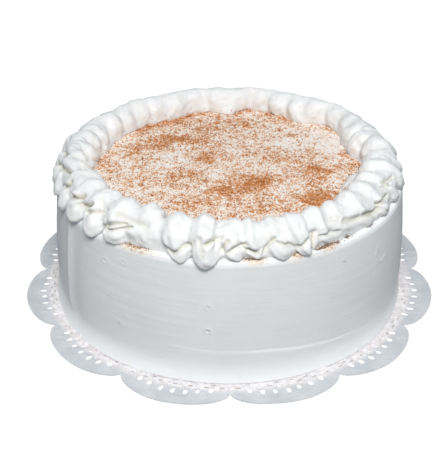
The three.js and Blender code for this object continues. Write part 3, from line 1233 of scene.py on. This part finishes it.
def cream_paint(name, tint, bump_depth, streaky):
    paint = Paint(name, Subsurface_Weight=0.25, Subsurface_Scale=0.0025, Specular_IOR_Level=0.35)
    paint.shader.inputs["Subsurface Radius"].default_value = (1.0, 0.9, 0.75)
    cloud = paint.noise(0.03, 3)
    paler = tuple(min(1, channel * 1.02) for channel in tint)
    deeper = tuple(channel * 0.975 for channel in tint)
    colour = paint.ramp(cloud, (0.3, deeper), (0.7, paler))
    # Painted shade: the deeper a crease, the darker and more yellow-grey its cream.
    creased = paint.attribute("crease")
    crease_shaded = paint.mix(creased * 1.25, colour, paint.ramp(creased, *CREASE_SHADE))
    damp = paint.ramp(paint.noise(0.0016, 2), *DAMP)
    paint.colour(paint.mix(paint.attribute("stain"), crease_shaded, damp))
    paint.rough(0.46 + 0.14 * paint.noise(0.012, 2))
    bubbles = paint.noise(0.0011, 3, 0.6)
    height = 0.25 * bubbles + 0.25 * paint.noise(0.004, 2)
    if streaky:
        streaks = paint.noise(0.006, 4, 0.6, LEVEL)
        fine = paint.noise(0.002, 3, 0.6, FINE_LEVEL)
        height = height * 0.4 + streaks * 0.5 + fine * 0.6
    paint.bump(height, bump_depth)
    return paint


# Both are the same whipped cream. The border's tint is painted a shade greyer than the coat's, as painted
# shade on its brightly lit top.
cream_paint("smoothed_cream", (0.93, 0.94, 0.94), 0.00021, True).dress(coat)
cream_paint("piped_cream", (0.89, 0.888, 0.882), 0.00022, False).dress(border)

# %% [markdown]
# ## Cinnamon
# Dusted cinnamon on cream is not one brown: specks of dark bark, orange-brown powder and cream that
# shows between them. The layer's thickness, kept as an attribute on the powder, moves the balance.

# %% Paint the powder
CINNAMON_ON_CREAM = ((0.0, (0.96, 0.895, 0.84)), (0.3, (0.92, 0.775, 0.65)), (0.6, (0.79, 0.45, 0.23)),
                     (0.85, (0.66, 0.25, 0.07)), (1.0, (0.55, 0.18, 0.045)))
powder_paint = Paint("cinnamon_on_cream", Specular_IOR_Level=0.2)
fine = powder_paint.noise(0.0011, 2, 0.6)
coarse = powder_paint.noise(0.0024, 2, 0.55)
speck = (fine * 0.6 + coarse * 0.4 - 0.5) * 3.0
cover = (powder_paint.attribute("layer") * 0.95 + speck * 1.4 - 0.07).between(0.0, 1.05)
powder_paint.colour(powder_paint.ramp(cover, *CINNAMON_ON_CREAM))
powder_paint.rough(0.85 + 0.1 * fine)
powder_paint.bump(fine * 0.6 + coarse * 0.4, 0.0005)
powder_paint.dress(powder)

# %% [markdown]
# Each grain takes one colour from a short scale, by its own tone: dark bark, orange-brown powder, and a
# few pale ones that are mostly cream. The crumbs on the rim take a darker scale, which adds painted
# shade of the gaps under the loops where they lie.

# %% Paint the grains
DRY_TONES = ((0.0, (0.25, 0.10, 0.045)), (0.35, (0.43, 0.155, 0.05)), (0.8, (0.66, 0.29, 0.10)),
             (1.0, (0.82, 0.56, 0.38)))
# Darker tones: cinnamon with painted shade of the gaps under the loops.
SHADED_CRUMB_TONES = ((0.0, (0.13, 0.085, 0.05)), (0.5, (0.27, 0.18, 0.11)), (0.8, (0.40, 0.20, 0.09)),
              (1.0, (0.58, 0.44, 0.32)))


def grain_paint(name, tones):
    paint = Paint(name, Specular_IOR_Level=0.2)
    paint.colour(paint.ramp(paint.attribute("tone"), *tones))
    paint.rough(0.8 + 0.15 * paint.noise(0.0004))
    paint.bump(paint.noise(0.0002, 2), 0.00005)
    return paint


grain_paint("cinnamon_grains", DRY_TONES).dress(grains)
grain_paint("shaded_crumbs", SHADED_CRUMB_TONES).dress(crumbs)

# %% [markdown]
# ## Paper
# The doily is bleached tissue pressed with a fine weave: matt and white. Its lobes are painted greyer
# and cooler, as painted shade over the outer paper. The lace nearer the cake is warmer, and full of
# knots too small to model one by one, so their light and shade are painted as a mottled colour, with a
# bump to match. The dashes are painted darker, as painted shade in their pressed lines.

# %% Paint the paper
LOBE_FROM = 0.1345  # metres from the middle
LOBE_FULL = 0.1395
# The lobes are painted shade, greyer and cooler than the lace and mottled by blotches.
LOBE_SHADED, LOBE_LIGHTER_SHADE = (0.575, 0.595, 0.63), (0.655, 0.67, 0.695)
# Painted shade and painted highlights of the lace's small knots.
LACE_SHADED, LACE_LIT = (0.73, 0.69, 0.695), (0.85, 0.825, 0.83)
# Painted shade in the dashes' pressed lines.
DASH_SHADE = (0.50, 0.45, 0.43)

paper_paint = Paint("pressed_paper", Specular_IOR_Level=0.25)
fibres = paper_paint.noise(0.0006, 4, 0.7)
blotches = paper_paint.noise(0.012, 3)
knots = paper_paint.noise(0.0032, 1)
away = paper_paint.node("VectorMath", {"operation": "LENGTH"}, {0: paper_paint.axes()}, "Value")
lobe = away.between(LOBE_FROM, LOBE_FULL)
lobe_shade = paper_paint.mix(blotches.between(0.3, 0.7), LOBE_SHADED, LOBE_LIGHTER_SHADE)
# Painted light and shade of the small knots in the lace, mottled by noise.
lace_colour = paper_paint.mix(knots.between(0.36, 0.64), LACE_SHADED, LACE_LIT)
flat_colour = paper_paint.mix(lobe, lace_colour, lobe_shade)
# The dashes are painted darker: painted shade.
paper_paint.colour(paper_paint.mix(paper_paint.attribute("pressed"), flat_colour, DASH_SHADE))
paper_paint.rough(0.78 + 0.12 * fibres)
cells = {"Vector": paper_paint.axes(), "Scale": 1 / 0.0016}
weave = paper_paint.node("TexVoronoi", {"feature": "F1"}, cells)
paper_paint.bump(weave * 0.7 + fibres * 0.3 + (1 - lobe) * knots * 1.5, 0.00025)
paper_paint.dress(doily)

# %% [markdown]
# ## Say what each piece stands for
# Every piece rides on the one body, the cream and the paper replace their imported solids, and the
# material slot that each finish belongs to is printed beside it.

# %% Ride and replace
for piece, slot_name, node in (
    (coat, "cream_coat", "cake_body"),
    (border, "piped_cream", "piped_border"),
    (doily, "paper_lace", "paper_doily"),
    (powder, "cinnamon", None),
    (grains, "cinnamon", None),
    (crumbs, "cinnamon", None),
):
    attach(piece, "root")
    if node:
        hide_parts(node)
    print(f"{piece.name}: slot {slot_name}, in place of {node or 'nothing'}")

# %% [markdown]
# ## Camera
# The picture was taken from about sixty centimetres away, thirty-one degrees above the table. The
# camera looks at a point a little left of the cake's middle, half way up.

# %% Set the camera
CAMERA_DISTANCE = 601.9
CAMERA_ELEVATION = math.radians(30.83)
CAMERA_AIM = Vector((-4.15, 0, 40.2))
FOCAL_PIXELS = 806.2
PICTURE_HEIGHT = 449
SENSOR_WIDTH = 36

deselect()
back = Vector((0, -math.cos(CAMERA_ELEVATION), math.sin(CAMERA_ELEVATION)))
bpy.ops.object.camera_add(location=(CAMERA_AIM + back * CAMERA_DISTANCE) * MM)
camera = bpy.context.object
camera.rotation_euler = back.to_track_quat("Z", "Y").to_euler()
camera.data.sensor_width = SENSOR_WIDTH
camera.data.lens = FOCAL_PIXELS * SENSOR_WIDTH / PICTURE_HEIGHT
camera.data.clip_start = 0.01
bpy.context.scene.camera = camera
print(f"lens {camera.data.lens:.1f} mm")

# %% [markdown]
# ## Light and floor
# A soft studio: a wide panel high in front, a pale floor and a dim, slightly blue world. The wall is
# then darker than the top, and darkest where it turns away at the sides. The floor throws little
# light up at the wall, but to the camera it glows evenly, as a lit white ground does in a studio.

# %% Light the studio
LIGHT_AIM = Vector((0, 0, 0.05))


def panel(name, place, size, power, colour):
    deselect()
    bpy.ops.object.light_add(type="AREA", location=place)
    light = added(name)
    light.data.shape = "RECTANGLE"
    light.data.size, light.data.size_y = size
    light.data.energy = power
    light.data.color = colour
    light.rotation_euler = (Vector(place) - LIGHT_AIM).to_track_quat("Z", "Y").to_euler()
    print(f"{name}: {power} W")


panel("key_panel", (0.03, -0.87, 1.23), (0.6, 0.5), 16.9, (1.0, 0.99, 0.966))

world = bpy.data.worlds.new("studio")
bpy.context.scene.world = world
world.use_nodes = True
sky = world.node_tree.nodes["Background"]
sky.inputs["Color"].default_value = (0.80, 0.90, 1.0, 1)
sky.inputs["Strength"].default_value = 0.32

deselect()
bpy.ops.mesh.primitive_plane_add(size=3, location=(0, 0, -0.0002))
floor = added("floor")
floor_paint = Paint("pale_floor", Roughness=0.9, Specular_IOR_Level=0.1)
floor_paint.colour((0.2, 0.2, 0.2, 1))
seen = floor_paint.node("LightPath")
floor_paint.plug(floor_paint.shader.inputs["Emission Color"], floor_paint.mix(seen, (0,) * 3, (1,) * 3))
floor_paint.shader.inputs["Emission Strength"].default_value = 0.95
floor_paint.dress(floor)
floor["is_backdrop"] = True
bpy.context.scene.view_settings.view_transform = "Standard"

# %% [markdown]
# ## Finish
# The box of the finished cake is measured against the imported one, to see how far the lumps of cream
# and the paper's beads reach past it.

# %% Measure against the packed box and finish
dressed_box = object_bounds()
past = max(cad_box[0][axis] - dressed_box[0][axis] for axis in range(3))
above = max(dressed_box[1][axis] - cad_box[1][axis] for axis in range(3))
print(f"past the packed box by at most {max(past, above) / MM:.1f} mm")
